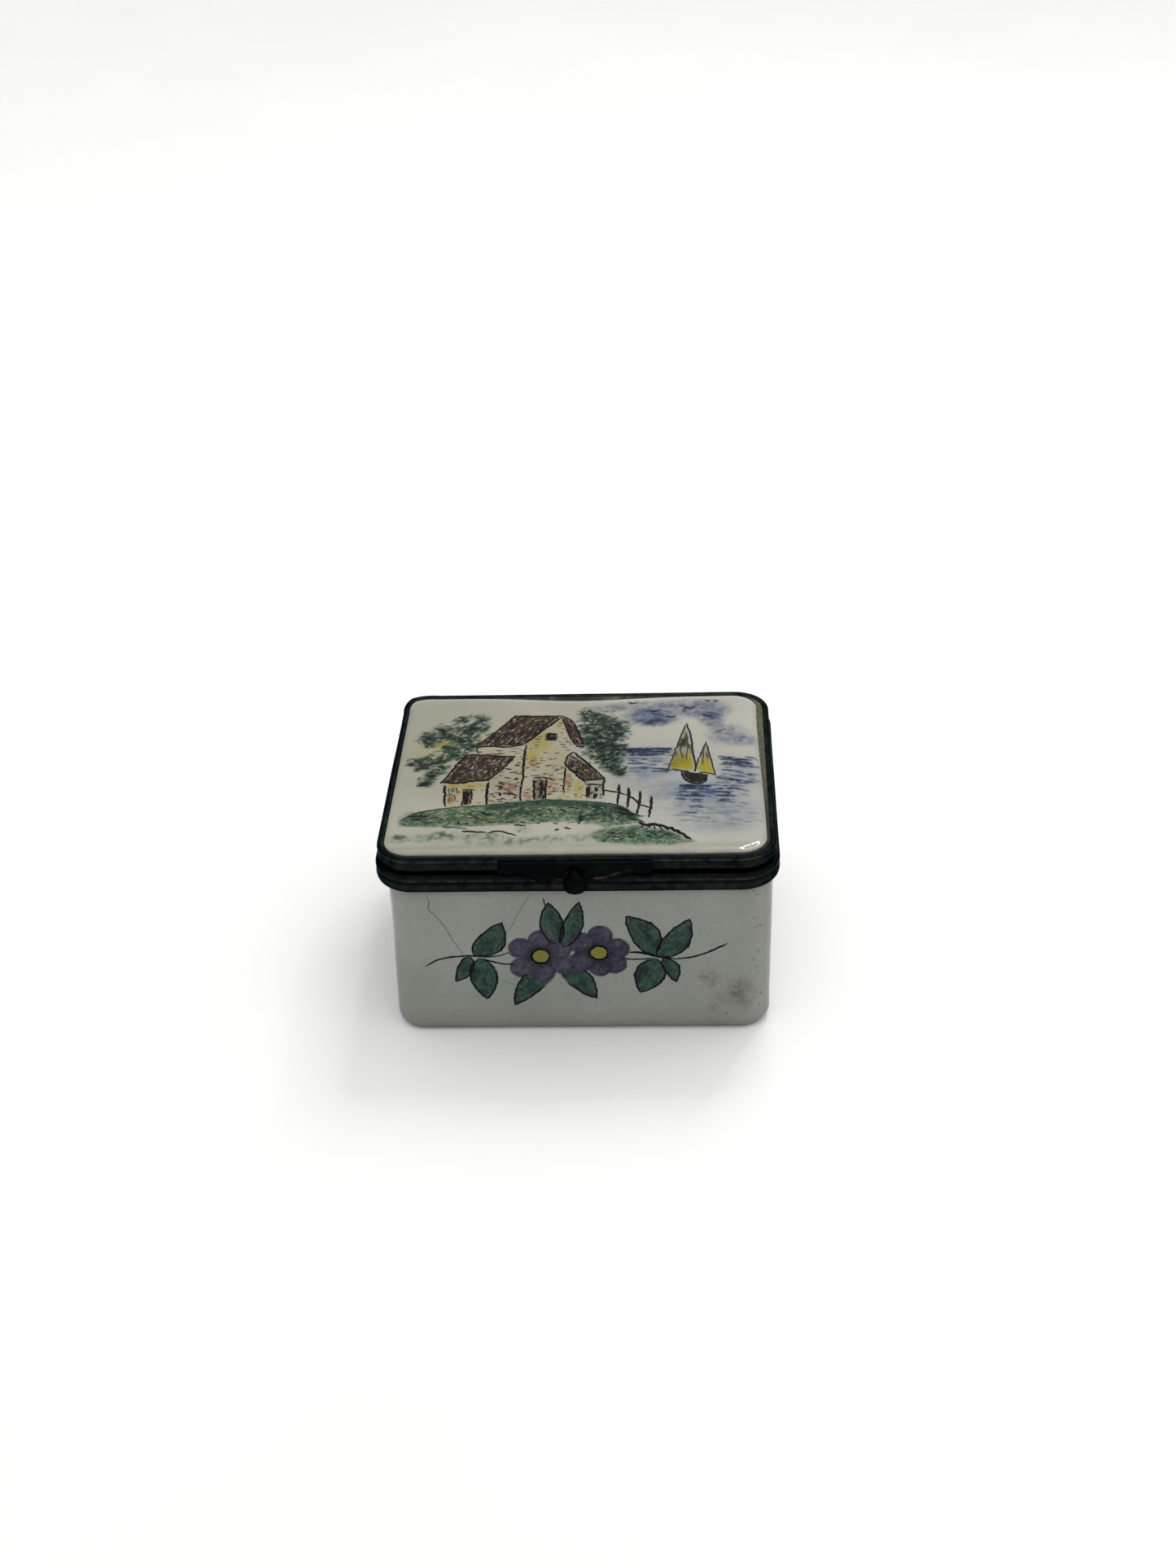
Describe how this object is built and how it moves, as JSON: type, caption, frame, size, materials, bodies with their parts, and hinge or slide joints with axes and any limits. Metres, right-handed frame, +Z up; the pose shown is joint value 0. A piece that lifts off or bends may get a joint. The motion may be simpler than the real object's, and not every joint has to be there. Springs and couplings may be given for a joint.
{
  "type": "pill box",
  "caption": "Small rectangular glazed ceramic box with a hinged lid panel in dark brass rims, a thumb lift at the front and a painted landscape and flower sprig.",
  "frame": {"origin": "middle of the flat underside that the box rests on", "axes": "+X to the right along the width, +Y to the back where the hinge is, +Z up; the thumb lift faces -Y"},
  "size_m": [0.056, 0.0508, 0.0306],
  "materials": {
    "box_glaze": "gloss",
    "lid_glaze": "gloss",
    "rim_brass": "satin",
    "inner_brass": "satin",
    "hinge_brass": "satin",
    "thumb_brass": "satin",
    "cement": "matte"
  },
  "bodies": {
    "base": {"base_box": "box_glaze", "base_cement": "cement", "base_rim": "rim_brass", "base_collar": "inner_brass", "base_hinge_bearer": "rim_brass", "base_knuckle_left": "hinge_brass", "base_knuckle_middle": "hinge_brass", "base_knuckle_right": "hinge_brass", "hinge_pin": "hinge_brass"},
    "lid": {"lid_panel": "lid_glaze", "lid_cement": "cement", "lid_rim": "rim_brass", "lid_hinge_bearer": "rim_brass", "lid_knuckle_left": "hinge_brass", "lid_knuckle_right": "hinge_brass", "thumb_plate": "thumb_brass", "thumb_knob": "thumb_brass"}
  },
  "joints": [
    {"name": "lid_hinge", "type": "hinge", "parent": "base", "child": "lid", "pos_m": [0, 0.02425, 0.0272], "axis": [-1, 0, 0], "range_deg": [0, 100]}
  ]
}
